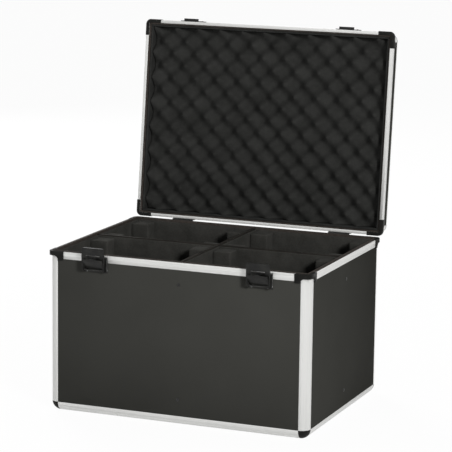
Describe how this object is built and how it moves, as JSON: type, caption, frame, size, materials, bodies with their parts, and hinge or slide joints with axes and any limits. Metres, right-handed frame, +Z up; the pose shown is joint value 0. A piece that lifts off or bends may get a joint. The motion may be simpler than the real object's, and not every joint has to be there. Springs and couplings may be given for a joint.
{
  "type": "lighting flight case",
  "caption": "Black panelled flight case with rounded aluminium edges, moulded corners, padded compartments, an egg-crate foam lid on stop hinges and lever draw latches.",
  "frame": {"origin": "centre of the flat underside", "axes": "+Z up, -Y out of the front with the latches, +X to the right seen from the front"},
  "size_m": [0.554, 0.5363, 0.749],
  "materials": {
    "laminate": "black laminated plywood, fine satin grain",
    "aluminium": "satin anodised",
    "moulding": "satin black",
    "black_steel": "black powder coat",
    "foam": "open-cell dark grey foam",
    "lined_plywood": "dark stained"
  },
  "bodies": {
    "case_base": {"bottom_panel": "laminate", "front_panel": "laminate", "rear_panel": "laminate", "left_panel": "laminate", "right_panel": "laminate", "corner_post_front_left": "aluminium", "corner_post_front_right": "aluminium", "corner_post_rear_left": "aluminium", "corner_post_rear_right": "aluminium", "bottom_edge_front": "aluminium", "bottom_edge_rear": "aluminium", "bottom_edge_left": "aluminium", "bottom_edge_right": "aluminium", "bottom_corner_front_left": "moulding", "bottom_corner_front_right": "moulding", "bottom_corner_rear_left": "moulding", "bottom_corner_rear_right": "moulding", "base_rim": "aluminium", "base_rim_corner_front_left": "moulding", "base_rim_corner_front_right": "moulding", "base_rim_corner_rear_left": "moulding", "base_rim_corner_rear_right": "moulding", "divider_long": "lined_plywood", "divider_cross": "lined_plywood", "foam_insert_front_left": "foam", "foam_insert_front_right": "foam", "foam_insert_rear_left": "foam", "foam_insert_rear_right": "foam", "latch_plate_left": "black_steel", "latch_plate_right": "black_steel", "hinge_base_leaf_left": "black_steel", "hinge_base_leaf_right": "black_steel"},
    "lid": {"lid_top_panel": "laminate", "lid_front_panel": "laminate", "lid_rear_panel": "laminate", "lid_left_panel": "laminate", "lid_right_panel": "laminate", "lid_edge_front": "aluminium", "lid_edge_rear": "aluminium", "lid_edge_left": "aluminium", "lid_edge_right": "aluminium", "lid_corner_front_left": "aluminium", "lid_corner_front_right": "aluminium", "lid_corner_rear_left": "aluminium", "lid_corner_rear_right": "aluminium", "lid_rim": "aluminium", "lid_rim_corner_front_left": "moulding", "lid_rim_corner_front_right": "moulding", "lid_rim_corner_rear_left": "moulding", "lid_rim_corner_rear_right": "moulding", "lid_foam": "foam", "keeper_left": "black_steel", "keeper_right": "black_steel", "hinge_lid_leaf_left": "black_steel", "hinge_lid_leaf_right": "black_steel"},
    "lever_left": {"latch_lever_left": "black_steel"},
    "lever_right": {"latch_lever_right": "black_steel"},
    "bail_left": {"latch_bail_left": "black_steel"},
    "bail_right": {"latch_bail_right": "black_steel"}
  },
  "joints": [
    {"name": "lid_hinge", "type": "hinge", "parent": "case_base", "child": "lid", "pos_m": [0, 0.213, 0.324], "axis": [1, 0, 0], "range_deg": [0, 96.4]},
    {"name": "lever_left_pivot", "type": "hinge", "parent": "case_base", "child": "lever_left", "pos_m": [-0.1735, -0.214, 0.2955], "axis": [1, 0, 0], "range_deg": [0, 140]},
    {"name": "bail_left_pivot", "type": "hinge", "parent": "lever_left", "child": "bail_left", "pos_m": [-0.1735, -0.21783, 0.29871], "axis": [1, 0, 0], "range_deg": [-140, 0]},
    {"name": "lever_right_pivot", "type": "hinge", "parent": "case_base", "child": "lever_right", "pos_m": [0.1735, -0.214, 0.2955], "axis": [1, 0, 0], "range_deg": [0, 140]},
    {"name": "bail_right_pivot", "type": "hinge", "parent": "lever_right", "child": "bail_right", "pos_m": [0.1735, -0.21783, 0.29871], "axis": [1, 0, 0], "range_deg": [-140, 0]}
  ],
  "couplings": [
    {"joint": "bail_left_pivot", "follows": "lever_left_pivot", "ratio": -1},
    {"joint": "bail_right_pivot", "follows": "lever_right_pivot", "ratio": -1}
  ]
}
